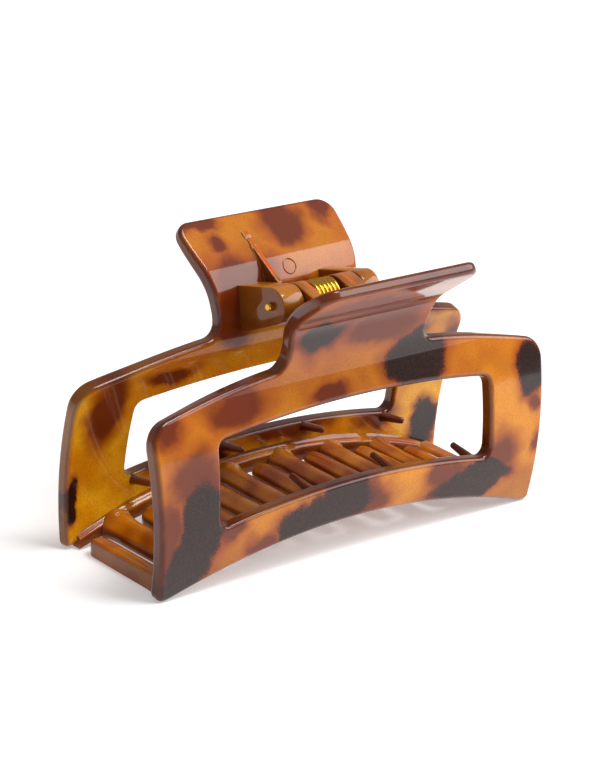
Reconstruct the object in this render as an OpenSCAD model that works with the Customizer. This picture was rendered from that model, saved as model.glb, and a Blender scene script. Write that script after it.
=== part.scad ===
// Rectangular open-frame hair claw.
// Two jaw mouldings face each other across a sprung hinge; only their hinge lugs differ.
// X runs along the clip, Y across it, Z is up. The clip stands on its jaw ends at Z = 0.

/* [Frame] */
// Length of each jaw at the top of the frame
jaw_length = 88; // [80:1:96]
// How much narrower each end of the jaw is at the floor
end_taper = 1.8; // [0:0.1:4]
// Height of the frame at its outer corners
frame_height = 29.6; // [26:0.2:33]
// Rise of the top edge at mid length
top_arch = 5.0; // [3:0.1:6]
// Rise of the bottom edge at mid length
bottom_arch = 6.2; // [4:0.1:7]
// Radius of the two upper frame corners
corner_r = 4.2; // [2:0.1:6]
// Thickness of the moulded plate
wall = 2.7; // [2.2:0.1:3.2]
// Distance from the middle plane to the outer face at the floor
foot_out = 13.4; // [12:0.1:15]
// Outward slope of the outer face where it leaves the floor
belly_slope = 0.142; // [0.10:0.002:0.18]
// Inward curve of the outer face above the belly
belly_curve = 0.008; // [0.007:0.0002:0.009]

/* [Window] */
// Half length of the window
window_half = 30.5; // [27:0.5:33]
// Height of the window sill at its ends
sill_height = 10.6; // [9.5:0.1:12]
// Rise of the sill at mid length
sill_arch = 2.7; // [1.5:0.1:3.5]
// Height of the window head at its ends
head_height = 25.2; // [23:0.1:26]
// Rise of the head at mid length
head_arch = 2.0; // [1:0.1:3]
// Radius of the window corners
window_r = 1.6; // [0.8:0.1:3]

/* [Thumb tab] */
// Half width of the neck between frame and tab
neck_half = 15.4; // [13:0.1:17]
// Half width of the tab near its top
tab_half = 17.3; // [15:0.1:20]
// Distance from the middle plane to the outer face of the tab tip
tab_reach = 20.9; // [18:0.1:24]
// Height of the outer edge of the tab tip
tab_height = 49.7; // [47:0.1:53]
// Plate thickness at the tab tip
tip_wall = 2.1; // [1.8:0.1:2.7]
// Distance from the middle plane to the outer face at the neck
neck_out = 10.7; // [10:0.1:12]

/* [Hinge] */
// Height of the hinge axis
hinge_height = 41.2; // [40:0.1:42]
// Radius of the hinge lugs
lug_r = 3.2; // [2.8:0.1:3.6]
// Distance from mid length to the left end of the hinge barrel
barrel_left = 11.0; // [10:0.1:12.5]
// Distance from mid length to the right end of the hinge barrel
barrel_right = 10.6; // [10:0.1:12.5]
// Distance from mid length to the seam between the left pair of lugs
seam_left = 6.28; // [5.8:0.02:7.4]
// Distance from mid length to the seam between the right pair of lugs
seam_right = 6.98; // [5.8:0.02:7.4]
// Distance from mid length to the left side of the spring bay
bay_left = 3.65; // [3.6:0.05:4]
// Distance from mid length to the right side of the spring bay
bay_right = 2.75; // [2.7:0.05:3.6]
// Side gap between neighbouring lugs
lug_gap = 0.25; // [0.15:0.05:0.4]
// Diameter of the hinge pin
pin_d = 1.4; // [1.2:0.1:1.8]
// Length of pin standing out of each outer lug
pin_nub = 1.0; // [0.4:0.1:1.5]
// Radial clearance between the pin and the jaw that turns on it
pin_clearance = 0.04; // [0.02:0.01:0.08]
// Radial grip of the other jaw on the pin
pin_grip = 0.01; // [0.005:0.005:0.02]
// Thickness of the gusset rib behind the tab
gusset_w = 1.4; // [1:0.1:1.6]
// Distance of the gusset rib from mid length
gusset_x = 4.35; // [4.3:0.05:5]

/* [Spring] */
// Diameter of the spring wire
wire_d = 0.9; // [0.7:0.02:0.92]
// Number of close wound turns
turns = 7; // [5:1:7]
// Outer diameter of the coil
coil_d = 6.3; // [5.5:0.1:6.8]
// Distance of the middle of the coil left of mid length
coil_shift = 0.45; // [0.4:0.01:0.5]

/* [Teeth and spikes] */
// Distance between neighbouring teeth of one jaw
tooth_pitch = 12.0; // [11.8:0.1:12.2]
// Number of narrow teeth on each jaw
tooth_count = 6; // [5:1:6]
// Position of the first narrow tooth
first_tooth = -27.0; // [-27.4:0.1:-26.8]
// Half width of a tooth where it leaves the jaw
tooth_root = 2.9; // [2.4:0.05:3.1]
// Half width of a tooth at its rounded tip
tooth_tip = 2.25; // [1.6:0.05:2.4]
// Height of the teeth
tooth_height = 2.3; // [2:0.1:2.8]
// Gap between the tooth tips and the opposite jaw
tip_gap = 1.6; // [1.2:0.1:2]
// Half width of the wider tooth at the end of each jaw
end_tooth = 1.9; // [1.5:0.1:2]
// Distance from the end of the jaw to the middle of its end tooth
end_tooth_in = 3.8; // [3.6:0.1:3.9]
// Width of the ledge that joins the tooth roots inside the jaw
ledge = 0.9; // [0.5:0.1:1]
// Extra height of the ledge at mid length
ledge_rise = 0.7; // [0.2:0.1:0.9]
// Length of the inner spikes
spike_length = 5.2; // [3:0.1:6]
// Diameter of a spike at its root
spike_d = 1.6; // [1.2:0.1:2]
// Upward tilt of the spikes
spike_tilt = 11; // [5:1:20]

/* [Hidden] */
$fn = 64;
half = jaw_length/2;
foot_half = half - end_taper;
flat_half = foot_half - 1.8;
pin_x0 = -barrel_left - pin_nub;
pin_x1 = barrel_right + pin_nub;
// Lug spans along X, the back jaw's written as that jaw lies before it is turned round
inner_spans = [[-seam_left + lug_gap/2, -bay_left], [bay_right, seam_right - lug_gap/2]];
outer_spans = [[seam_left + lug_gap/2, barrel_left], [-barrel_right, -seam_right - lug_gap/2]];
knee_z = 39;
elbow_y = neck_out + 2.7;
elbow_z = knee_z + 4.5;
top_cut = tab_height + 0.9;
step_count = 28;

// Height of the jaw's bottom edge at a given X
function bottom_z(x) = abs(x) > flat_half ? 0 : bottom_arch*(1 - pow(x/flat_half, 2));

// Height of the frame's top edge at a given X
function top_z(x) = frame_height + top_arch*(1 - pow(x/half, 2));

// Height of the window sill and head at a given X
function sill_z(x) = sill_height + sill_arch*(1 - pow(x/window_half, 2));
function head_z(x) = head_height + head_arch*(1 - pow(x/window_half, 2));

// Distance of the outer face from the middle plane, below the neck
function face_y(z) = foot_out + belly_slope*z - belly_curve*z*z;

// Slope of the outer face below the neck
function face_slope(z) = belly_slope - 2*belly_curve*z;

// Smooth blend from point a to point b, leaving along u and arriving along v
function blend(a, b, u, v, t) =
    a*(2*pow(t, 3) - 3*t*t + 1) + u*(pow(t, 3) - 2*t*t + t)
    + b*(3*t*t - 2*pow(t, 3)) + v*(pow(t, 3) - t*t);

// Rounded corner at point b between points a and c
function corner(a, b, c, r, n) =
    let (u = (a - b)/norm(a - b), v = (c - b)/norm(c - b))
    let (half_angle = acos(max(-1, min(1, u*v)))/2)
    let (reach = r/tan(half_angle), m = (u + v)/norm(u + v))
    let (centre = b + m*r/sin(half_angle))
    let (p = b + u*reach - centre, q = b + v*reach - centre)
    let (turn = 180 - 2*half_angle, way = sign(p[0]*q[1] - p[1]*q[0]))
    [for (i = [0:n]) let (g = way*turn*i/n)
        centre + [p[0]*cos(g) - p[1]*sin(g), p[0]*sin(g) + p[1]*cos(g)]];

// Outer face in side view, from below the floor to the tab tip
neck_foot = [face_y(31), 31];
neck_knee = [neck_out, knee_z];
tab_elbow = [elbow_y, elbow_z];
tab_tip = [tab_reach, tab_height];
flare = (tab_tip - tab_elbow)/norm(tab_tip - tab_elbow);
outer_face = concat(
    [for (z = [-2:2:30]) [face_y(z), z]],
    [for (i = [0:5]) blend(neck_foot, neck_knee, 8*[face_slope(31), 1], 7*[0.16, 1], i/6)],
    [for (i = [0:5]) blend(neck_knee, tab_elbow, 5*[0.16, 1], 6*flare, i/6)],
    [for (i = [0:3]) tab_elbow + (tab_tip - tab_elbow)*i/3]);

// Thickness of the plate at each point of the side view
function plate_at(z) = z < elbow_z ? wall : wall + (tip_wall - wall)*(z - elbow_z)/(tab_height - elbow_z);

// Unit vector pointing from the outer face into the plate
function into_plate(i) =
    let (n = len(outer_face) - 1, a = outer_face[max(0, i - 1)], b = outer_face[min(n, i + 1)])
    let (d = (b - a)/norm(b - a))
    [-d[1], d[0]];

inner_face = [for (i = [0:len(outer_face) - 1])
    outer_face[i] + plate_at(outer_face[i][1])*into_plate(i)];

// Half of the jaw outline in front view, from bottom middle to top middle
right_side = concat(
    [for (i = [0:12]) let (x = (foot_half - 4.4)*i/12) [x, bottom_z(x)]],
    [[flat_half, 0]],
    corner([flat_half, 0], [foot_half, 0], [half, frame_height], 1, 5),
    corner([foot_half, 0], [half, frame_height], [half - 5.5, top_z(half - 5.5)], corner_r, 8),
    [for (i = [0:8]) let (x = half - 5.5 - (half - 5.5 - neck_half - 4)*i/8) [x, top_z(x)]],
    corner([neck_half + 4, top_z(neck_half + 4)], [neck_half + 0.1, top_z(neck_half)],
        [neck_half, knee_z - 2], 2.4, 6),
    [for (i = [0:6]) blend([neck_half, knee_z - 2], [tab_half, tab_height - 2.6],
        5*[0.1, 1], 7*[0.02, 1], i/6)],
    [for (i = [0:6]) let (g = 15*i) [tab_half - 3 + 3*cos(g), top_cut - 3.2 + 3.2*sin(g)]]);

function mirrored(p) = [for (i = [len(p) - 1:-1:0]) [-p[i][0], p[i][1]]];

// Half of the window outline
window_side = concat(
    [for (i = [0:9]) let (x = (window_half - 3)*i/9) [x, sill_z(x)]],
    corner([window_half - 3, sill_z(window_half - 3)], [window_half, sill_height],
        [window_half, head_height], window_r, 5),
    corner([window_half, sill_height], [window_half, head_height],
        [window_half - 3, head_z(window_half - 3)], window_r, 5),
    [for (i = [9:-1:0]) let (x = (window_half - 3)*i/9) [x, head_z(x)]]);

// Extrude a side view drawn in Y and Z from x0 to x1
module along_x(x0, x1) {
    translate([x0, 0, 0]) rotate([90, 0, 90]) linear_extrude(x1 - x0) children();
}

// Extrude a front view drawn in X and Z from y0 to y1
module along_y(y0, y1) {
    translate([0, y1, 0]) rotate([90, 0, 0]) linear_extrude(y1 - y0) children();
}

// Curved plate with its window
module plate() {
    difference() {
        intersection() {
            along_x(-half - 1, half + 1)
                polygon(concat([for (p = outer_face) [-p[0], p[1]]],
                    [for (i = [len(inner_face) - 1:-1:0]) [-inner_face[i][0], inner_face[i][1]]]));
            along_y(-tab_reach - 5, 0)
                polygon(concat(right_side, mirrored(right_side)));
        }
        along_y(-tab_reach - 5, 0)
            polygon(concat(window_side, mirrored(window_side)));
    }
}

// Distance of the neck's inner face from the middle plane
wall_y = neck_out - wall;

// Lug with a round nose, its top and bottom running back to the plate
module lug(span) {
    r = lug_r - 0.01;
    along_x(span[0], span[1]) {
        polygon([
            [-wall_y - 1.6, hinge_height + r/cos(15) - (wall_y + 1.6)*tan(15)],
            [-r*sin(15), hinge_height + r*cos(15)],
            [r*sin(26.5), hinge_height - r*cos(26.5)],
            [-3.6, hinge_height - r/cos(26.5) - 3.6*tan(26.5)],
            [-wall_y + 0.6, 34.3],
            [-wall_y - 0.8, 33.9]]);
        translate([0, hinge_height]) circle(r = lug_r);
    }
}

// Triangular rib between the tab and the neck
module gusset() {
    along_x(gusset_x - gusset_w/2, gusset_x + gusset_w/2)
        polygon([
            [-wall_y - 1.2, 37],
            [-wall_y + 0.2, 37],
            [-5.5, 39.6],
            [-5.5, 42.7],
            [-14.2, 47.7],
            [-16.2, 48.3],
            [-16.9, 47.9],
            [-elbow_y, elbow_z + 1]]);
}

// Plan view of one tooth, rooted in the plate and reaching to y = reach
tip_y = foot_out - wall - tip_gap;
module tooth_plan(x, root, tip, reach) {
    y0 = -foot_out + wall + ledge;
    translate([x, 0]) {
        polygon([
            [-root, -foot_out + 1.2],
            [root, -foot_out + 1.2],
            [root, y0],
            [(root + tip)/2, y0 + 1.1],
            [tip + 0.1, y0 + 3.2],
            [tip, reach - tip],
            [-tip, reach - tip],
            [-tip - 0.1, y0 + 3.2],
            [-(root + tip)/2, y0 + 1.1],
            [-root, y0]]);
        translate([0, reach - tip]) circle(r = tip);
    }
}

// Band that follows the bottom arch, rise higher at mid length
module arch_band(y0, y1, height, rise) {
    along_y(y0, y1)
        polygon(concat(
            [for (i = [-16:16]) let (x = flat_half*i/16) [x, bottom_z(x)]],
            [for (i = [16:-1:-16]) let (x = flat_half*i/16, u = i/16)
                [x, bottom_z(x) + height + rise*(1 - u*u)]]));
}

// End tooth, the row of narrow teeth and the ledge behind them, following the bottom arch
module teeth() {
    intersection() {
        linear_extrude(20) {
            tooth_plan(-foot_half + end_tooth_in, end_tooth, end_tooth - 0.2, tip_y - 1);
            for (i = [0:tooth_count - 1])
                tooth_plan(first_tooth + i*tooth_pitch, tooth_root, tooth_tip, tip_y);
        }
        arch_band(-foot_out, foot_out, tooth_height, 0);
    }
    arch_band(-foot_out + 1.2, -foot_out + wall + ledge, tooth_height, ledge_rise);
    for (i = [0:tooth_count - 1])
        crown(first_tooth + i*tooth_pitch);
}

// Rounded ridge along the top of a tooth
module crown(x) {
    r = tooth_tip - 1;
    translate([x, 0, bottom_z(x) + tooth_height - r + 0.45]) {
        translate([0, -foot_out + 1.2, 0])
            rotate([-90, 0, 0]) cylinder(r = r, h = foot_out - 1.2 + tip_y - tooth_tip);
        translate([0, tip_y - tooth_tip, 0]) sphere(r = r);
    }
}

// Tapered spikes along the inside of the lower bar
module spikes() {
    for (s = [-1, 1], x = [9.2, 28.6]) {
        z = sill_z(x) - 1.1;
        translate([s*x, -face_y(z) + wall - 0.9, z])
            rotate([-90 + spike_tilt, 0, 0]) {
                cylinder(d1 = spike_d, d2 = spike_d*0.62, h = spike_length + 0.9);
                translate([0, 0, spike_length + 0.9]) sphere(d = spike_d*0.62);
            }
    }
}

// Complete moulding facing the front, with pin holes of radius bore_r and a lug at each span
module jaw(bore_r, spans) {
    difference() {
        union() {
            plate();
            for (span = spans) lug(span);
            gusset();
            teeth();
            spikes();
        }
        translate([-half, 0, hinge_height])
            rotate([0, 90, 0]) cylinder(r = bore_r, h = jaw_length);
    }
}

module front_jaw() {
    color("darkorange") jaw(pin_d/2 + pin_clearance, inner_spans);
}

module back_jaw() {
    color("chocolate") rotate([0, 0, 180]) jaw(pin_d/2 - pin_grip, outer_spans);
}

// Leg from one end of the coil to the inside of a neck
coil_mean = (coil_d - wire_d)/2;
leg_d = wire_d*0.9;
module spring_leg(x) {
    lift = 14;
    leg_r = coil_mean - 0.1;
    translate([x, -leg_r*sin(lift), hinge_height - leg_r*cos(lift)])
        rotate([90 - lift, 0, 0]) {
            translate([0, 0, -0.3]) cylinder(d = leg_d, h = 6.9);
            translate([0, 0, 6.6]) sphere(d = leg_d);
        }
}

module torsion_spring() {
    pitch = wire_d*0.92;
    coil_half = pitch*(turns - 1)/2;
    color("gold") translate([-coil_shift, 0, 0]) {
        translate([-coil_half, 0, hinge_height])
            rotate([0, 90, 0]) rotate_extrude()
                for (i = [0:turns - 1]) translate([coil_mean, i*pitch]) circle(d = wire_d);
        spring_leg(coil_half + 0.06);
        rotate([0, 0, 180]) spring_leg(coil_half + 0.06);
    }
}

module hinge_pin() {
    length = pin_x1 - pin_x0;
    color("gold")
        translate([pin_x0, 0, hinge_height]) rotate([0, 90, 0])
            rotate_extrude()
                polygon([[0, 0], [pin_d/2 - 0.2, 0], [pin_d/2, 0.2],
                    [pin_d/2, length - 0.2], [pin_d/2 - 0.2, length], [0, length]]);
}

back_jaw();
front_jaw();
torsion_spring();
hinge_pin();
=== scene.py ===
import math
import bmesh
import bpy
import numpy as np
from mathutils import Matrix, Vector
from mathutils.geometry import delaunay_2d_cdt


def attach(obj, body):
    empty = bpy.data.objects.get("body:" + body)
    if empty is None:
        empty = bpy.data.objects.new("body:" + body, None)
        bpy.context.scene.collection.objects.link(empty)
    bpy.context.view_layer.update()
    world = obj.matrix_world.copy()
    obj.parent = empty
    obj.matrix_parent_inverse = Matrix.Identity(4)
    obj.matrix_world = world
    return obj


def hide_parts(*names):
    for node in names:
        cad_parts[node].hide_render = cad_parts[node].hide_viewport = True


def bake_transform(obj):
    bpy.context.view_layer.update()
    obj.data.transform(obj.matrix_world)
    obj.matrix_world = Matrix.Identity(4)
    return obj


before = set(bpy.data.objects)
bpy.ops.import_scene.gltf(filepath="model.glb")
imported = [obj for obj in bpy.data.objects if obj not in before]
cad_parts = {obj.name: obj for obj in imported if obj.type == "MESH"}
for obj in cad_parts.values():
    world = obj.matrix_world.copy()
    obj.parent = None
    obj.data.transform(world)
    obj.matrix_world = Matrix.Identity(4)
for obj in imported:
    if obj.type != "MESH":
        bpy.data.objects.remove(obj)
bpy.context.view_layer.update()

# ---------------------------------------------------------------- sizes in millimetres, as in part.scad
MM = 0.001
HALF = 44.0                      # half length of a jaw at the top of its frame
FOOT_HALF = 42.2                 # half length at the floor
FLAT_HALF = FOOT_HALF - 1.8      # half length of the arch in the lower edge
FRAME_H = 29.6                   # height of the frame at its ends
TOP_ARCH, BOT_ARCH = 5.0, 6.2    # rise of its top and of its lower edge at mid length
WALL, TIP_WALL = 2.7, 2.1        # thickness of the plate, and at the tab's tip
FOOT_OUT = 13.4                  # outer face from the middle plane, at the floor
SLOPE, CURVE = 0.142, 0.008      # lean of the frame and how it curves back
FOOT_TOP = 31.0                  # height where that curve ends
WIN = 30.5                       # half length of the window
SILL, SILL_ARCH = 10.6, 2.7
HEAD, HEAD_ARCH = 25.2, 2.0
NECK, TAB = 15.4, 17.3           # half widths of the neck and the tab
NECK_OUT, KNEE_Z, KNEE_LEAN = 10.7, 39.0, 0.16
ELBOW = np.array([NECK_OUT + 2.7, KNEE_Z + 4.5])
TIP = np.array([20.9, 49.7])
FOOT_CORNER, TOP_CORNER, NECK_CORNER, TAB_CORNER, WINDOW_CORNER = 1.0, 4.2, 2.4, 3.0, 1.6
HINGE_Z = 41.2
LUG_R, BORE_R = 3.2, 0.74        # lugs, and the bore they share: the pin with its clearance
RIB_X = 4.35                     # middle of the gusset rib
TOOTH_COUNT, FIRST_TOOTH, TOOTH_PITCH = 6, -27.0, 12.0
END_TOOTH = -FOOT_HALF + 3.8     # middle of the wider tooth at one end of the row

# Sizes that only the visual model has
RIM_OUT, RIM_IN = 0.85, 0.75     # rounding of the plate's outer and inner rims
BEVEL, BEVEL_TOP, BEVEL_HALF = 0.75, 8.0, 41.5    # extra rounding inside the lower edge
TIP_SHORT = 0.65                 # keeps the tab's rim inside the CAD box
ROUND_STEPS = 6
RIM_STEP, GRID_STEP, GRID_GAP = 0.62, 1.1, 0.55
LEDGE_Y, ROOT_Y = 9.95, 12.0     # face of the ledge, and where ledge and teeth start inside the plate
WIRE, COIL_R, COIL_TURNS = 0.86, 2.7, 6
COIL_X0, COIL_X1 = -3.06, 2.16
LEG_LIFT = math.radians(14)      # angle of the spring's legs above level


def arched(x, end, rise, half):
    return end + rise * (1 - (x / half) ** 2)


def bottom_z(x):
    return np.where(np.abs(x) > FLAT_HALF, 0.0, arched(x, 0, BOT_ARCH, FLAT_HALF))


def top_z(x):
    return arched(x, FRAME_H, TOP_ARCH, HALF)


def sill_z(x):
    return arched(x, SILL, SILL_ARCH, WIN)


def head_z(x):
    return arched(x, HEAD, HEAD_ARCH, WIN)


def unit(v):
    return v / np.linalg.norm(v, axis=-1)[..., None]


def arc_lengths(path):
    return np.concatenate([[0], np.cumsum(np.linalg.norm(np.diff(path, axis=0), axis=1))])


def hermite(a, b, u, v, t):
    """Point at t of the cubic from a to b that leaves along u and arrives along v."""
    a, b, u, v = map(np.asarray, (a, b, u, v))
    near_a = a * (2 * t**3 - 3 * t * t + 1) + u * (t**3 - 2 * t * t + t)
    return near_a + b * (3 * t * t - 2 * t**3) + v * (t**3 - t * t)


# ---------------------------------------------------------------- side view of the plate
def foot_y(z):
    return FOOT_OUT + SLOPE * z - CURVE * z * z


def outer_profile():
    """Outer face as (distance from the middle plane, height), from just below the floor to the tip."""
    foot_lean = np.array([SLOPE - 2 * FOOT_TOP * CURVE, 1])
    knee_lean = np.array([KNEE_LEAN, 1])
    foot, knee = [foot_y(FOOT_TOP), FOOT_TOP], [NECK_OUT, KNEE_Z]
    p = [np.array([foot_y(z), z]) for z in np.arange(-1, FOOT_TOP, 0.5)]
    p += [hermite(foot, knee, 8 * foot_lean, 7 * knee_lean, t) for t in np.arange(24) / 24]
    p += [hermite(knee, ELBOW, 5 * knee_lean, 6 * unit(TIP - ELBOW), t) for t in np.arange(20) / 20]
    p += [ELBOW + (TIP - ELBOW) * t for t in np.arange(21) / 20]
    return np.array(p)


def smooth_tangents(path, arc):
    d = np.gradient(path, arc, axis=0)
    for _ in range(3):
        d[1:-1] = (d[:-2] + 2 * d[1:-1] + d[2:]) / 4
    return unit(d)


PROFILE = outer_profile()
ARC = arc_lengths(PROFILE)
ARC -= np.interp(0, PROFILE[:, 1], ARC)    # arc length is 0 at the floor
ALONG = smooth_tangents(PROFILE, ARC)
INTO = np.stack([-ALONG[:, 1], ALONG[:, 0]], -1)


def arc_of(z):
    return np.interp(z, PROFILE[:, 1], ARC)


S_ELBOW = arc_of(ELBOW[1])
S_TIP = ARC[-1] - TIP_SHORT


def plate_t(s):
    """Thickness of the plate at arc length s. The tab thins towards its tip."""
    k = np.clip((s - S_ELBOW) / (ARC[-1] - S_ELBOW), 0, 1)
    return WALL + (TIP_WALL - WALL) * k


def at(s, table):
    return np.interp(s, ARC, table[:, 0]), np.interp(s, ARC, table[:, 1])


def on_plate(x, s, depth):
    """Point of the front jaw at x, arc length s, and depth below its outer face."""
    (y, z), (into_y, into_z) = at(s, PROFILE), at(s, INTO)
    return np.stack([x + 0 * s, -(y + into_y * depth), z + into_z * depth], -1)


def frame_at(s):
    """Unit vectors along the plate and out of its outer face, front jaw."""
    (along_y, along_z), (into_y, into_z) = at(s, ALONG), at(s, INTO)
    along = np.stack([0 * s, -along_y, along_z], -1)
    out = np.stack([0 * s, into_y, -into_z], -1)
    return unit(along), unit(out)


# ---------------------------------------------------------------- outlines in (x, arc length)
def fillet(a, b, c, r, n):
    """Arc of radius r in n steps that rounds corner b of the path a, b, c."""
    a, b, c = map(np.asarray, (a, b, c))
    u, v = unit(a - b), unit(c - b)
    h = math.acos(float(np.clip(u @ v, -1, 1))) / 2
    centre = b + unit(u + v) * r / math.sin(h)
    p, q = b + u * r / math.tan(h) - centre, b + v * r / math.tan(h) - centre
    turn = (math.pi - 2 * h) * np.sign(p[0] * q[1] - p[1] * q[0])
    spins = [(math.cos(g), math.sin(g)) for g in turn * np.arange(n + 1) / n]
    return [centre + np.array([p[0] * cg - p[1] * sg, p[0] * sg + p[1] * cg]) for cg, sg in spins]


def mirrored(half):
    return np.vstack([half, np.stack([-half[::-1, 0], half[::-1, 1]], -1)])


def outline():
    """Outline of the plate, anticlockwise from the middle of its lower edge."""
    shoulder, root = HALF - 5.5, NECK + 4
    waist, wrist = [NECK, KNEE_Z - 2], [TAB, TIP[1] - 2.6]
    half = [[x, bottom_z(x)] for x in np.linspace(0, FOOT_HALF - 3.6, 30)]
    half += [[FLAT_HALF, 0.02]]
    half += fillet([FLAT_HALF, 0], [FOOT_HALF, 0], [HALF, FRAME_H], FOOT_CORNER, 6)
    half += fillet([FOOT_HALF, 0], [HALF, FRAME_H], [shoulder, top_z(shoulder)], TOP_CORNER, 14)
    half += [[x, top_z(x)] for x in np.linspace(shoulder, root, 18)]
    half += fillet([root, top_z(root)], [NECK + 0.1, top_z(NECK)], waist, NECK_CORNER, 10)
    half += [hermite(waist, wrist, 5 * np.array([0.1, 1]), 7 * np.array([0.02, 1]), t)
             for t in np.arange(1, 13) / 13]
    half = np.array([[x, arc_of(z)] for x, z in half])
    half = half[half[:, 1] < S_TIP - TAB_CORNER]
    corner = [[TAB - TAB_CORNER + TAB_CORNER * math.cos(g), S_TIP - TAB_CORNER + TAB_CORNER * math.sin(g)]
              for g in np.linspace(0, math.pi / 2, 10)]
    return mirrored(np.vstack([half, corner]))


def window():
    """Outline of the window, anticlockwise from the middle of its sill."""
    inner = WIN - 3
    half = [[x, sill_z(x)] for x in np.linspace(0, inner, 20)]
    half += fillet([inner, sill_z(inner)], [WIN, SILL], [WIN, HEAD], WINDOW_CORNER, 8)
    half += fillet([WIN, SILL], [WIN, HEAD], [inner, head_z(inner)], WINDOW_CORNER, 8)
    half += [[x, head_z(x)] for x in np.linspace(inner, 0, 20)]
    return mirrored(np.array([[x, arc_of(z)] for x, z in half]))


def even_loop(loop, step, same=0.05):
    """The same closed loop with its points about a step apart. Points nearer than same count as one."""
    keep = [loop[0]]
    for point in loop[1:]:
        if np.linalg.norm(point - keep[-1]) > same:
            keep.append(point)
    closed = np.array(keep + keep[:1])
    d = arc_lengths(closed)
    n = int(round(d[-1] / step))
    t = np.arange(n) * d[-1] / n
    return np.stack([np.interp(t, d, closed[:, 0]), np.interp(t, d, closed[:, 1])], -1)


def turning(loop):
    """1 for an anticlockwise loop, -1 for a clockwise one."""
    return np.sign(np.sum(loop[:, 0] * np.roll(loop[:, 1], -1) - np.roll(loop[:, 0], -1) * loop[:, 1]))


def loop_normals(loop):
    """Unit normals that point out of a closed loop."""
    d = unit(np.roll(loop, -1, 0) - np.roll(loop, 1, 0))
    return np.stack([d[:, 1], -d[:, 0]], -1) * turning(loop)


def inside(points, loop):
    x, y = points[:, 0][:, None], points[:, 1][:, None]
    x0, y0 = loop[:, 0][None], loop[:, 1][None]
    x1, y1 = np.roll(loop[:, 0], -1)[None], np.roll(loop[:, 1], -1)[None]
    cross = ((y0 > y) != (y1 > y)) & (x < (x1 - x0) * (y - y0) / (y1 - y0 + 1e-12) + x0)
    return np.sum(cross, 1) % 2 == 1


def gap_to(points, loop):
    return np.min(np.linalg.norm(points[:, None] - loop[None], axis=2), axis=1)


# ---------------------------------------------------------------- plate with rounded rims
class Plate:
    """Vertices of a jaw's plate, their normals, how far round the rim each one sits, and the faces."""

    def __init__(self):
        self.co, self.no, self.edge, self.faces = [], [], [], []
        rims = [self.rim(even_loop(outline(), RIM_STEP), 1), self.rim(even_loop(window(), RIM_STEP), -1)]
        self.fill(rims[0][0], rims[1][0], True)
        self.fill(rims[0][1], rims[1][1], False)

    def add(self, points, normals, edge):
        base = len(self.co)
        self.co.extend(points)
        self.no.extend(normals)
        self.edge.extend([edge] * len(points))
        return base

    def rim(self, loop, sign):
        """Rounded rim of the outline (sign 1) or the window (sign -1). Returns its first and last row."""
        across, s = loop_normals(loop) * sign, loop[:, 1]
        low = np.clip((BEVEL_TOP - s) / 4, 0, 1) * (np.abs(loop[:, 0]) < BEVEL_HALF) * (sign > 0)
        r_out, r_in = RIM_OUT + 0 * s, RIM_IN + BEVEL * low
        rows = []
        for outer in (True, False):
            for g in [math.pi / 2 * j / ROUND_STEPS for j in range(ROUND_STEPS + 1)]:
                if outer:
                    inset, depth = r_out * (1 - math.sin(g)), r_out * (1 - math.cos(g))
                    to_rim, to_face = math.sin(g), math.cos(g)
                else:
                    inset, depth = r_in * (1 - math.cos(g)), plate_t(s) - r_in * (1 - math.sin(g))
                    to_rim, to_face = math.cos(g), -math.sin(g)
                row = loop - across * inset[:, None]
                along, out = frame_at(row[:, 1])
                sideways = across[:, :1] * np.array([[1.0, 0, 0]]) + across[:, 1:] * along
                base = self.add(on_plate(row[:, 0], row[:, 1], depth), sideways * to_rim + out * to_face,
                                0.25 + 0.75 * to_rim)
                rows.append((base, row))
        m = len(loop)
        for (a, _), (b, _) in zip(rows[:-1], rows[1:]):
            for i in range(m):
                k = (i + 1) % m
                face = (a + i, a + k, b + k, b + i)
                self.faces.append(face[::-1] if sign > 0 else face)
        return rows[0], rows[-1]

    def fill(self, outline_row, window_row, outer):
        """Fills the outer or inner face between the end rows of the two rims, over an even grid."""
        (b0, l0), (b1, l1) = outline_row, window_row
        m0, m1 = len(l0), len(l1)
        grid = np.array([(x, s) for s in np.arange(0, S_TIP, GRID_STEP)
                         for x in np.arange(-HALF, HALF + GRID_STEP, GRID_STEP)])
        grid = grid[inside(grid, l0) & ~inside(grid, l1)]
        grid = grid[(gap_to(grid, l0) > GRID_GAP) & (gap_to(grid, l1) > GRID_GAP)]
        points = [Vector(p) for p in np.vstack([l0, l1, grid]).tolist()]
        edges = [(i, (i + 1) % m0) for i in range(m0)] + [(m0 + i, m0 + (i + 1) % m1) for i in range(m1)]
        flat, _, triangles, source, _, _ = delaunay_2d_cdt(points, edges, [], 0, 1e-5)
        flat, triangles = np.array([list(p) for p in flat]), np.array(triangles)
        middle = flat[triangles].mean(1)
        triangles = triangles[inside(middle, l0) & ~inside(middle, l1)]

        out = frame_at(grid[:, 1])[1]
        depth = 0 * grid[:, 1] if outer else plate_t(grid[:, 1])
        base = self.add(on_plate(grid[:, 0], grid[:, 1], depth), out if outer else -out, 0.0)
        owner = [start + i for start, count in ((b0, m0), (b1, m1), (base, len(grid))) for i in range(count)]
        for triangle in triangles:
            a, b, c = flat[triangle]
            anticlockwise = (b[0] - a[0]) * (c[1] - a[1]) - (b[1] - a[1]) * (c[0] - a[0]) > 0
            face = tuple(owner[source[i][0]] for i in triangle)
            self.faces.append(face if anticlockwise == outer else face[::-1])


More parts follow.
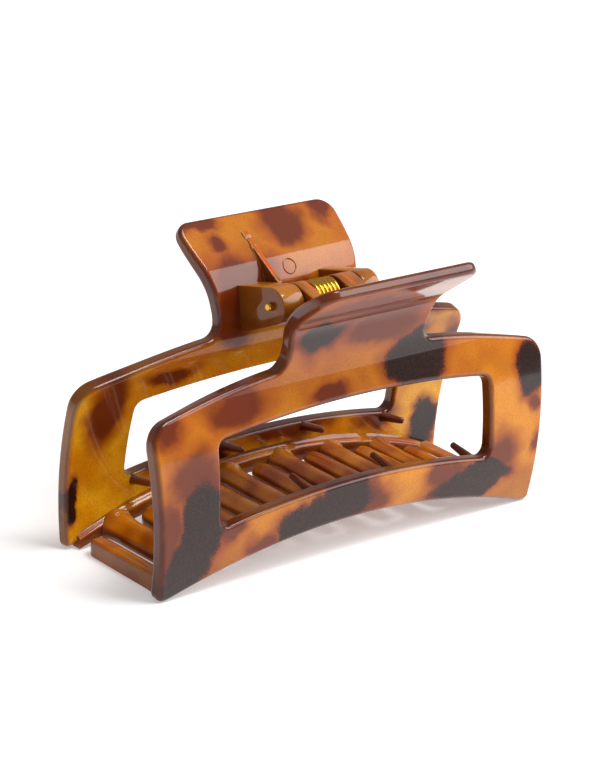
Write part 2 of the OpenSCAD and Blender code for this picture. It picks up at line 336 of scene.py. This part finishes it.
# ---------------------------------------------------------------- small solids
class Bits:
    """Collects closed shells, in millimetres, as one mesh."""

    def __init__(self):
        self.v, self.f = [], []

    def rings(self, rings, closed=False):
        """Skins a row of equal rings: capped at both ends, or joined end to end."""
        base, m, count = len(self.v), len(rings[0]), len(rings)
        for r in rings:
            self.v.extend(np.asarray(r, float).tolist())
        for i in range(count if closed else count - 1):
            a, b = base + i * m, base + (i + 1) % count * m
            for k in range(m):
                n = (k + 1) % m
                self.f.append((a + k, a + n, b + n, b + k))
        if not closed:
            last = base + (count - 1) * m
            self.f.append(tuple(base + k for k in range(m))[::-1])
            self.f.append(tuple(last + k for k in range(m)))


def rounded(poly, radii, n=3):
    """Polygon with its corners filleted, apart from those of radius 0."""
    out = []
    for i, (b, r) in enumerate(zip(poly, radii)):
        out += fillet(poly[i - 1], b, poly[(i + 1) % len(poly)], r, n) if r > 0 else [np.asarray(b, float)]
    return np.array(out)


def circle(centre, u, v, radius, sides):
    """Points round a centre, in the plane of the unit vectors u and v."""
    return [centre + (u * math.cos(g) + v * math.sin(g)) * radius
            for g in np.arange(sides) * 2 * math.pi / sides]


def extrude_x(bits, poly, x0, x1, edges):
    """Side-view polygon in (y, z) extruded along X, its two rims rounded by the given radii."""
    poly = np.asarray(poly, float)
    if turning(poly) < 0:
        poly = poly[::-1]
    out = loop_normals(poly)
    quarter = [math.pi / 2 * j / 3 for j in range(4)]
    rings = []
    for side, x, r, sweep in ((-1, x0, edges[0], quarter), (1, x1, edges[1], quarter[::-1])):
        for g in sweep:
            p = poly - out * (r * (1 - math.sin(g)))
            rings.append(np.column_stack([np.full(len(p), x - side * r * (1 - math.cos(g))), p]))
    bits.rings(rings)


# Sections of a tooth: (share of its half width, share of its height)
NARROW = [(-0.84, 0.0), (-0.96, 0.06), (-1.0, 0.2), (-1.0, 0.52), (-0.97, 0.68), (-0.9, 0.79), (-0.8, 0.86),
          (-0.66, 0.93), (-0.5, 1.03), (-0.32, 1.12), (-0.16, 1.16), (0.0, 1.17), (0.16, 1.15), (0.32, 1.1),
          (0.5, 1.0), (0.66, 0.9), (0.8, 0.82), (0.9, 0.74), (0.97, 0.64), (1.0, 0.5), (1.0, 0.2),
          (0.96, 0.06), (0.84, 0.0)]
END = [(-1.0, 0.0), (-1.0, 0.2), (-1.0, 0.7), (-1.0, 0.86), (-0.95, 0.94), (-0.84, 0.99), (-0.7, 1.0),
       (-0.2, 1.0), (0.2, 1.0), (0.45, 0.97), (0.62, 0.9), (0.78, 0.8), (0.92, 0.66), (0.99, 0.5),
       (1.0, 0.2), (1.0, 0.0)]


def tooth(bits, x, root, tip, tip_y, section, height=0.0, level=None):
    """One finger of the row, lofted along +Y from the ledge to its rounded tip.

    root and tip are half widths, and tip_y is where it ends. Its top is height above the arch of the
    lower edge, or flat at level. It widens towards its root, slopes down to its tip and, unless flat,
    rises where it meets the ledge.
    """
    fold, body_end = -LEDGE_Y, tip_y - tip
    ys = [-ROOT_Y, fold - 0.6, fold - 0.1] + [fold + d for d in (0.2, 0.5, 0.9, 1.4, 2.0, 2.8, 3.8)]
    ys += list(np.linspace(fold + 5.0, body_end, 8))[:-1]
    ys += [body_end + tip * math.sin(g) for g in np.linspace(0, math.pi / 2 * 0.97, 9)]
    rings = []
    for y in ys:
        out = y - fold
        widening = (1 - np.clip(out / 4.2, 0, 1)) ** 2.2
        slope = 1 - 0.07 * np.clip(out / (body_end - fold), 0, 1)
        rise = 0.4 * math.exp(-max(0, out) / 0.7) if level is None else 0.0
        w = tip + 0.08 * min(1, (body_end - y) / 8) + (root - tip) * widening
        nose = 1.0
        if y > body_end:
            nose = math.sqrt(max(0.0, 1 - ((y - body_end) / tip) ** 2))
            w = tip * (0.06 + 0.94 * nose)
        ring = []
        for u, q in section:
            px = x + u * w
            base_z = float(bottom_z(np.clip(px, -FLAT_HALF, FLAT_HALF)))
            tall = height * slope if level is None else level - base_z
            if q < 0.3:
                up = q * tall + 0.35 * tall * (1 - nose)
            else:
                up = q * tall * (0.5 + 0.5 * nose)
            ring.append([px, y, base_z + up + (rise if q > 0.6 else 0.0)])
        rings.append(ring)
    bits.rings(rings)


def ledge(bits):
    """Step along the inside of the lower edge that joins the roots of the teeth."""
    y = -LEDGE_Y
    step = [(-ROOT_Y, 0.1), (y - 0.15, 0.1), (y, 0.3), (y, 2.3), (y - 0.08, 2.55), (y - 0.25, 2.72),
            (-10.6, 3.0), (-10.85, 3.12), (-11.05, 3.35), (-11.3, 3.7), (-ROOT_Y, 3.7)]
    bits.rings([[(x, y, float(bottom_z(x)) + z * (1 - 0.26 * (x / 39) ** 4)) for y, z in step]
                for x in np.linspace(-40.2, 40.2, 61)])


def spike(bits, x, length=4.8, tilt=math.radians(11)):
    """Tapered spike that points in and a little up from just below the window."""
    z = float(sill_z(x)) - 1.1
    s = arc_of(z)
    foot = np.array([x, on_plate(x, s, plate_t(s))[1], z])
    axis = np.array([0, math.cos(tilt), math.sin(tilt)])
    side, top = np.array([1.0, 0, 0]), np.array([0, -math.sin(tilt), math.cos(tilt)])
    rows = [(-0.8, 1.0), (-0.1, 0.98), (0.12, 0.88), (0.4, 0.82), (1.2, 0.78), (length, 0.58)]
    rows += [(length + 0.35 * math.sin(g), 0.58 * math.cos(g)) for g in np.linspace(0.25, 1.5, 5)]
    bits.rings([circle(foot + axis * t, side, top, r, 16) for t, r in rows])


def teeth(bits):
    ledge(bits)
    tooth(bits, END_TOOTH, 1.9, 1.75, 8.4, END, level=3.0)
    for i in range(TOOTH_COUNT):
        tooth(bits, FIRST_TOOTH + TOOTH_PITCH * i, 2.85, 2.25, 9.15, NARROW, height=2.35)
    for x in (-28.6, -9.2, 9.2, 28.6):
        spike(bits, x)


def lugs(bits, back):
    """Two lugs, outer ones on the back jaw: a round nose on the hinge axis, with sides back to the plate."""
    nose = [(LUG_R * math.cos(g), HINGE_Z + LUG_R * math.sin(g))
            for g in np.radians(np.arange(-63.5, 106, 8.475))]
    side = [(-8.6, 33.9), (-7.4, 34.3), (-5.6, 34.9), (-3.6, 35.85)] + nose + [(-9.4, 42.0)]
    if back:
        extrude_x(bits, side, 6.4, 11.0, (0.3, 0.14))
        extrude_x(bits, side, -10.6, -7.1, (0.14, 0.3))
    else:
        extrude_x(bits, side, -6.16, -3.65, (0.3, 0.2))
        extrude_x(bits, side, 2.75, 6.86, (0.2, 0.3))


def gusset(bits):
    """Rib that runs from the lug up the inside of the tab, with a wider foot and an end block."""
    rib = rounded([(-9.2, 37), (-8.0, 37.0), (-5.6, 39.6), (-5.6, 42.6), (-14.2, 47.65), (-16.0, 48.25),
                   (-17.0, 47.8), (-14.2, 45.2), (-10.6, 41.0)], [0, 0.2, 0.5, 0.5, 1.5, 0.3, 0, 0, 0])
    foot = [(-8.5, 38.5), (-8.0, 38.6), (-8.15, 40.6), (-8.9, 42.4), (-10.3, 44.4), (-13.0, 47.0),
            (-13.8, 46.6), (-11.0, 43.6), (-9.4, 41.2)]
    block = rounded([(-14.3, 47.5), (-14.9, 48.15), (-15.5, 48.6), (-16.0, 48.4), (-16.8, 48.0),
                     (-15.2, 46.8)], [0.15] * 6)
    for side, half_width, edge in ((rib, 0.55, 0.2), (foot, 0.9, 0.45), (block, 0.85, 0.15)):
        extrude_x(bits, side, RIB_X - half_width, RIB_X + half_width, (edge, edge))


def ejector_mark(bits, x=-1.1, z=43.6, radius=1.35, thick=0.08):
    """Fine raised ring that a mould's ejector pin leaves on the inside of the tab."""
    s = ARC[::2]
    face = on_plate(x, s, plate_t(s))
    i = int(np.argmin(np.abs(face[:, 2] - z)))
    across, along = np.array([1.0, 0, 0]), frame_at(s)[0][i]
    spokes = [across * math.cos(g) + along * math.sin(g) for g in np.arange(32) * math.pi / 16]
    out = np.cross(across, along)
    bits.rings([circle(face[i] + spoke * radius, spoke, out, thick, 8) for spoke in spokes], closed=True)


# ---------------------------------------------------------------- objects
def new_object(name, verts, faces):
    me = bpy.data.meshes.new(name)
    me.from_pydata((np.asarray(verts) * MM).tolist(), [], faces)
    me.validate()
    me.update()
    obj = bpy.data.objects.new(name, me)
    bpy.context.scene.collection.objects.link(obj)
    return obj


def solid(name, bits):
    """Object from closed shells, with every normal outward."""
    obj = new_object(name, bits.v, bits.f)
    bm = bmesh.new()
    bm.from_mesh(obj.data)
    bmesh.ops.recalc_face_normals(bm, faces=bm.faces)
    bm.to_mesh(obj.data)
    bm.free()
    return obj


def smooth(obj, angle):
    """Smooth shading, apart from edges sharper than the angle."""
    obj.data.polygons.foreach_set("use_smooth", [True] * len(obj.data.polygons))
    obj.data.set_sharp_from_angle(angle=math.radians(angle))


def pin_hole(obj):
    """Cuts the pin's bore through the lugs."""
    bm = bmesh.new()
    axis = Matrix.Translation((0, 0, HINGE_Z * MM)) @ Matrix.Rotation(math.pi / 2, 4, "Y")
    bmesh.ops.create_cone(bm, cap_ends=True, segments=24, radius1=BORE_R * MM, radius2=BORE_R * MM,
                          depth=40 * MM, matrix=axis)
    me = bpy.data.meshes.new("cutter")
    bm.to_mesh(me)
    bm.free()
    cutter = bpy.data.objects.new("cutter", me)
    bpy.context.scene.collection.objects.link(cutter)
    mod = obj.modifiers.new("bore", "BOOLEAN")
    mod.operation, mod.object, mod.solver = "DIFFERENCE", cutter, "EXACT"
    cut = bpy.data.meshes.new_from_object(obj.evaluated_get(bpy.context.evaluated_depsgraph_get()))
    obj.modifiers.clear()
    obj.data = cut
    bpy.data.objects.remove(cutter)


def jaw_frame(name):
    plate = Plate()
    obj = new_object(name, plate.co, plate.faces)
    obj.data.polygons.foreach_set("use_smooth", [True] * len(obj.data.polygons))
    obj.data.normals_split_custom_set_from_vertices(np.array(plate.no).tolist())
    obj.data.attributes.new("edge", "FLOAT", "POINT").data.foreach_set("value", plate.edge)
    return obj


def jaw_details(name, back):
    """Everything on a jaw's inside, and the two lugs, as one object."""
    bits = Bits()
    lugs(bits, back)
    gusset(bits)
    if back:
        ejector_mark(bits)
    teeth(bits)
    obj = solid(name, bits)
    pin_hole(obj)
    smooth(obj, 38)
    return obj


def coil():
    """Centre line of the close-wound helix, from the back jaw's leg to the front jaw's."""
    turns = COIL_TURNS + 2 * LEG_LIFT / (2 * math.pi)
    n = int(turns * 40)
    k = np.arange(n + 1) / n
    g = -math.pi / 2 + LEG_LIFT - k * turns * 2 * math.pi
    return np.stack([COIL_X0 + k * (COIL_X1 - COIL_X0), COIL_R * np.cos(g), HINGE_Z + COIL_R * np.sin(g)], -1)


def spring(name, leg=6.3):
    """The coil with a straight leg at each end, as round wire."""
    body = coil()
    ends = []
    for tip, before in ((body[0], body[1]), (body[-1], body[-2])):
        d = (tip - before) * (0.1, 1, 1)
        ends.append([tip + unit(d) * k for k in np.linspace(0.35, leg, 10)])
    path = np.vstack([ends[0][::-1], body, ends[1]])
    along = unit(np.gradient(path, axis=0))
    x_axis = np.array([1.0, 0, 0])
    u = unit(x_axis - along * (along @ x_axis)[:, None])
    v = np.cross(along, u)
    bits = Bits()
    bits.rings([circle(path[i], u[i], v[i], WIRE / 2, 12) for i in range(len(path))])
    obj = solid(name, bits)
    smooth(obj, 50)
    return obj


# ---------------------------------------------------------------- materials
class Nodes:
    """A new material and short ways to add nodes to it."""

    def __init__(self, name):
        self.mat = bpy.data.materials.new(name)
        self.mat.use_nodes = True
        self.tree = self.mat.node_tree
        self.shader = next(n for n in self.tree.nodes if n.type == "BSDF_PRINCIPLED")

    def settings(self, **values):
        """Constant shader values, with _ for each space in a name."""
        for name, value in values.items():
            self.shader.inputs[name.replace("_", " ")].default_value = value

    def node(self, kind, **values):
        n = self.tree.nodes.new(kind)
        for k, v in values.items():
            setattr(n, k, v)
        return n

    def put(self, socket, value):
        if isinstance(value, bpy.types.NodeSocket):
            self.tree.links.new(value, socket)
        else:
            socket.default_value = value

    def math(self, op, a, b=0.0, c=0.0):
        n = self.node("ShaderNodeMath", operation=op)
        for s, v in zip(n.inputs, (a, b, c)):
            self.put(s, v)
        return n.outputs[0]

    def vec(self, op, a, b):
        n = self.node("ShaderNodeVectorMath", operation=op)
        self.put(n.inputs[0], a)
        self.put(n.inputs[1], b)
        return n.outputs[0]

    def length(self, a):
        n = self.node("ShaderNodeVectorMath", operation="LENGTH")
        self.put(n.inputs[0], a)
        return n.outputs["Value"]

    def coordinates(self, kind):
        return self.node("ShaderNodeTexCoord").outputs[kind]

    def millimetres(self):
        return self.vec("MULTIPLY", self.coordinates("Object"), (1000, 1000, 1000))

    def xyz(self, vector):
        n = self.node("ShaderNodeSeparateXYZ")
        self.put(n.inputs[0], vector)
        return n.outputs

    def noise(self, vector, scale, detail=2.0, rough=0.5):
        n = self.node("ShaderNodeTexNoise")
        self.put(n.inputs["Vector"], vector)
        n.inputs["Scale"].default_value = scale
        n.inputs["Detail"].default_value = detail
        n.inputs["Roughness"].default_value = rough
        return n.outputs

    def smoothstep(self, value, lo, hi, a=0.0, b=1.0):
        n = self.node("ShaderNodeMapRange", interpolation_type="SMOOTHSTEP")
        self.put(n.inputs["Value"], value)
        for k, v in (("From Min", lo), ("From Max", hi), ("To Min", a), ("To Max", b)):
            n.inputs[k].default_value = v
        return n.outputs["Result"]

    def mix(self, fac, a, b):
        n = self.node("ShaderNodeMix", data_type="RGBA", blend_type="MIX")
        self.put(n.inputs["Factor"], fac)
        self.put(n.inputs[6], a)
        self.put(n.inputs[7], b)
        return n.outputs[2]

    def tint(self, colour, other, value, lo, hi, a, b):
        """Mixes another colour in, by share a where value is lo and share b where it is hi."""
        return self.mix(self.smoothstep(value, lo, hi, a, b), colour, rgb(other))


def rgb(code):
    """Linear colour from an sRGB hex code."""
    c = [int(code[i:i + 2], 16) / 255 for i in (0, 2, 4)]
    return tuple(x / 12.92 if x <= 0.04045 else ((x + 0.055) / 1.055) ** 2.4 for x in c) + (1.0,)


# Patches in the plastic, and broad painted shade on the front tab, in millimetres: centre x and z, half
# width, half height
FRONT_DARK = [(-34.7, 12.8, 4.4, 7.0), (-37.4, 5.2, 4.8, 4.0), (-39.5, 1.5, 3.4, 2.6),
              (-10.0, 8.2, 7.0, 4.0), (-3.0, 10.4, 6.4, 3.2), (-14.5, 5.4, 3.4, 2.8),
              (26.4, 7.0, 10.4, 2.8), (30.2, 8.0, 3.6, 2.0), (40.6, 25.6, 3.8, 5.0),
              (13.9, 31.4, 6.8, 4.8), (15.6, 34.4, 3.4, 2.8), (-9.8, 39.6, 4.4, 2.4)]
# partly painted shade: the broad brown patches over the front jaw's neck and tab darken it where little light
# comes through
FRONT_BROWN_AND_SHADE = [(-36.2, 20.2, 6.0, 4.4), (-41.6, 10.0, 2.6, 9.0), (-27.9, 10.0, 3.2, 2.2),
               (-21.2, 6.4, 3.6, 1.7), (2.4, 9.2, 4.8, 3.6), (20.0, 10.4, 5.0, 2.0),
               (33.2, 11.0, 4.6, 3.6), (41.6, 18.6, 1.5, 1.6), (42.4, 12.0, 1.2, 2.2),
               (-26.5, 29.8, 6.6, 3.6), (-6.4, 28.4, 4.6, 1.5), (-9.6, 39.6, 7.2, 4.0),
               (5.0, 38.4, 10.0, 3.0), (-41.0, 28.0, 2.8, 2.6), (-6.0, 43.6, 13.0, 4.6),
               (5.0, 42.4, 12.0, 3.8), (8.0, 48.6, 9.0, 2.0)]
BACK_DARK = [(38.6, 7.0, 3.0, 4.4), (-41.6, 8.4, 1.3, 3.4), (-13.5, 10.0, 5.6, 2.0)]
BACK_BROWN = [(-36.8, 25.4, 3.6, 7.0), (-11.2, 47.7, 2.2, 1.4), (-9.4, 42.2, 8.4, 4.0),
              (0.0, 38.6, 9.0, 2.6), (-25.0, 28.8, 5.0, 1.5), (5.0, 12.4, 11.0, 2.2),
              (27.0, 10.6, 5.0, 2.4), (41.6, 22.0, 2.4, 5.0), (14.0, 33.0, 6.0, 3.0),
              (36.0, 33.0, 7.0, 2.6), (-22.0, 11.6, 5.4, 2.2), (4.2, 48.6, 4.6, 2.6),
              (-12.4, 35.0, 3.8, 3.0), (-12.8, 38.8, 3.8, 4.2), (-12.5, 50.6, 4.4, 1.0),
              (31.0, 27.4, 4.4, 2.2), (14.0, 49.4, 3.4, 1.8)]


def plastic(name):
    """Glossy tinted plastic, and the position in millimetres for its colour to use."""
    m = Nodes(name)
    m.settings(Roughness=0.3, IOR=1.49, Specular_IOR_Level=0.12, Coat_Weight=1.0, Coat_Roughness=0.035,
               Coat_IOR=1.4, Subsurface_Weight=0.3, Subsurface_Radius=(1.0, 0.3, 0.05),
               Subsurface_Scale=0.003)
    return m, m.millimetres()


def nearest(m, p, patches, blur=0.25):
    """Scaled distance from p to the nearest patch. It is 1 on the patch's border."""
    near = None
    for x, z, rx, rz in patches:
        d = m.length(m.vec("MULTIPLY", m.vec("SUBTRACT", p, (x, 0, z)), (1 / rx, 0, 1 / rz)))
        near = d if near is None else m.math("SMOOTH_MIN", near, d, blur)
    return near


def wobble(m, p, scale, detail, size):
    """Random shift of a position, up to about half of size each way."""
    centred = m.vec("SUBTRACT", m.noise(p, scale, detail)["Color"], (0.5, 0.5, 0.5))
    return m.vec("MULTIPLY", centred, (size, size, size))


def tortoise(name, dark, brown, tints, low):
    """Amber plastic in two tints, with brown and dark patches; some brown patches stand in for painted shade.
    low is how much browner its foot is.
    """
    m, p = plastic(name)
    q = m.vec("ADD", m.vec("ADD", p, wobble(m, p, 0.17, 1.0, 5)), wobble(m, p, 0.7, 2.0, 1.1))
    grain = m.noise(p, 3.6, 2.0, 0.65)["Fac"]
    fuzz = m.math("MULTIPLY", m.math("SUBTRACT", grain, 0.5), 0.35)
    to_dark = m.math("ADD", nearest(m, q, dark), fuzz)
    to_brown = m.math("ADD", nearest(m, q, brown), fuzz)
    height = m.xyz(p)[2]
    rim = m.node("ShaderNodeAttribute", attribute_name="edge").outputs["Fac"]

    cloud = m.smoothstep(m.noise(p, 0.1, 2.0)["Fac"], 0.35, 0.65)
    colour = m.mix(cloud, rgb(tints[0]), rgb(tints[1]))
    colour = m.tint(colour, "9A5408", height, 2, 12, low, 0.0)
    colour = m.tint(colour, "B05004", height, 14, 44, 0.0, 0.75)
    # brown patches, which on the front jaw also carry painted shade over the neck and tab
    colour = m.tint(colour, "A84C08", to_brown, 0.95, 1.6, 0.7, 0.0)
    colour = m.tint(colour, "9A3E08", to_dark, 1.0, 1.6, 0.8, 0.0)
    colour = m.tint(colour, "6C2408", to_brown, 0.6, 1.15, 0.94, 0.0)
    colour = m.tint(colour, "52160A", to_dark, 0.96, 1.18, 1.0, 0.0)
    colour = m.tint(colour, "1C0C0A", to_dark, 0.84, 1.06, 1.0, 0.0)
    colour = m.tint(colour, "6A3006", grain, 0.42, 0.72, 0.0, 0.3)
    colour = m.tint(colour, "4E1606", rim, 0.15, 0.95, 0.0, 0.8)
    m.put(m.shader.inputs["Base Color"], colour)
    return m.mat


def clear_amber(name):
    """Teeth, spikes, lugs and ribs: the same plastic without patches, with painted shade darkening its sides.
    """
    m, p = plastic(name)
    cloud = m.smoothstep(m.noise(p, 0.15, 1.0)["Fac"], 0.35, 0.65)
    x, _, height = m.xyz(p)
    up_for_painted_shade = m.xyz(m.coordinates("Normal"))[2]
    off_rib = m.math("ABSOLUTE", m.math("SUBTRACT", m.math("ABSOLUTE", x), RIB_X))
    rib = m.math("MULTIPLY", m.smoothstep(off_rib, 0.25, 0.5, 1.0, 0.0), m.smoothstep(height, 43.3, 43.9))
    grain = m.noise(p, 3.6, 2.0, 0.65)["Fac"]

    teeth_amber = m.mix(cloud, rgb("A04A06"), rgb("CC7A0C"))
    lug_amber = m.mix(cloud, rgb("9C560A"), rgb("BC7418"))
    colour = m.tint(teeth_amber, "6E300C", height, 9.0, 9.8, 0.0, 1.0)
    colour = m.mix(m.smoothstep(height, 28, 32), colour, lug_amber)
    # painted shade: darker where the surface faces sideways or down rather than up
    colour = m.tint(colour, "5E2406", up_for_painted_shade, 0.1, 0.85, 0.65, 0.0)
    colour = m.mix(rib, colour, rgb("D2600A"))
    colour = m.tint(colour, "5A2A06", grain, 0.42, 0.72, 0.0, 0.25)
    m.put(m.shader.inputs["Base Color"], colour)
    return m.mat


def gold(name, base):
    m = Nodes(name)
    n = m.noise(m.millimetres(), 2.5, 3.0)["Fac"]
    m.settings(Metallic=1.0)
    m.put(m.shader.inputs["Base Color"], m.mix(n, rgb(base), rgb("F0C050")))
    m.put(m.shader.inputs["Roughness"], m.smoothstep(n, 0.3, 0.7, 0.16, 0.3))
    return m.mat


def paper(name):
    """Pale floor that glows a little, as a bright studio sweep does."""
    m = Nodes(name)
    m.settings(Base_Color=(0.9, 0.895, 0.895, 1), Roughness=0.8, Specular_IOR_Level=0.1,
               Emission_Color=(1, 0.985, 0.98, 1), Emission_Strength=0.33)
    return m.mat


# ---------------------------------------------------------------- pieces
front_mat = tortoise("tortoise_front", FRONT_DARK, FRONT_BROWN_AND_SHADE, ("C4720A", "E29014"), 0.6)
back_mat = tortoise("tortoise_back", BACK_DARK, BACK_BROWN, ("E08A06", "FFBA18"), 0.0)
clear_mat = clear_amber("clear_amber")
wire_mat = gold("gold_wire", "D89A20")
pin_mat = gold("gold_pin", "C89030")

for node, body, back, mat, slot in (("front_jaw", "front_half", False, front_mat, "front_jaw_shell"),
                                    ("back_jaw", "back_half", True, back_mat, "back_jaw_shell")):
    plate = jaw_frame(node + "_frame")
    fine = jaw_details(node + "_teeth_and_lugs", back)
    for o, m in ((plate, mat), (fine, clear_mat)):
        if back:
            o.data.transform(Matrix.Rotation(math.pi, 4, "Z"))
        o.data.materials.append(m)
        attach(o, body)
    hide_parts(node)

spring_obj = spring("torsion_spring_coil")
spring_obj.data.materials.append(wire_mat)
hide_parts("torsion_spring")
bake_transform(spring_obj)

for pin_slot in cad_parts["hinge_pin"].material_slots:
    pin_slot.material = pin_mat

# ---------------------------------------------------------------- floor, light, camera
bm = bmesh.new()
bmesh.ops.create_grid(bm, x_segments=2, y_segments=2, size=3.0)
floor_mesh = bpy.data.meshes.new("floor")
bm.to_mesh(floor_mesh)
bm.free()
floor_mesh.materials.append(paper("paper"))
floor = bpy.data.objects.new("floor", floor_mesh)
bpy.context.scene.collection.objects.link(floor)


def softbox(name, place, target, size, power):
    light = bpy.data.lights.new(name, "AREA")
    light.shape = "RECTANGLE"
    light.size, light.size_y = size
    light.energy = power
    o = bpy.data.objects.new(name, light)
    bpy.context.scene.collection.objects.link(o)
    o.location = place
    o.rotation_mode = "QUATERNION"
    o.rotation_quaternion = (Vector(target) - Vector(place)).to_track_quat("-Z", "Y")


softbox("key", (0.76, -0.51, 0.60), (0, 0, 0.03), (0.8, 0.56), 6.1)
softbox("top", (0.3, -0.3, 1.15), (0, 0, 0.02), (0.5, 0.5), 9.0)

world = bpy.data.worlds.new("studio")
bpy.context.scene.world = world
world.use_nodes = True
sky = next(n for n in world.node_tree.nodes if n.type == "BACKGROUND")
sky.inputs["Color"].default_value = (1, 1, 1, 1)
sky.inputs["Strength"].default_value = 0.32
bpy.context.scene.view_settings.view_transform = "Standard"

# The camera was fitted to points on both jaws
CAM_PLACE = (-0.32612, -0.34540, 0.20472)
CAM_RIGHT = (0.74884, -0.65759, 0.08258)
CAM_AHEAD = (0.63882, 0.68299, -0.35417)
cam_data = bpy.data.cameras.new("camera")
cam_data.sensor_width, cam_data.lens = 36, 139.95
cam_data.clip_start, cam_data.clip_end = 0.01, 20
ahead = Vector(CAM_AHEAD).normalized()
up = Vector(CAM_RIGHT).normalized().cross(ahead).normalized()
right = ahead.cross(up).normalized()
cam = bpy.data.objects.new("camera", cam_data)
bpy.context.scene.collection.objects.link(cam)
cam.matrix_world = Matrix.Translation(CAM_PLACE) @ Matrix((right, up, -ahead)).transposed().to_4x4()
bpy.context.scene.camera = cam
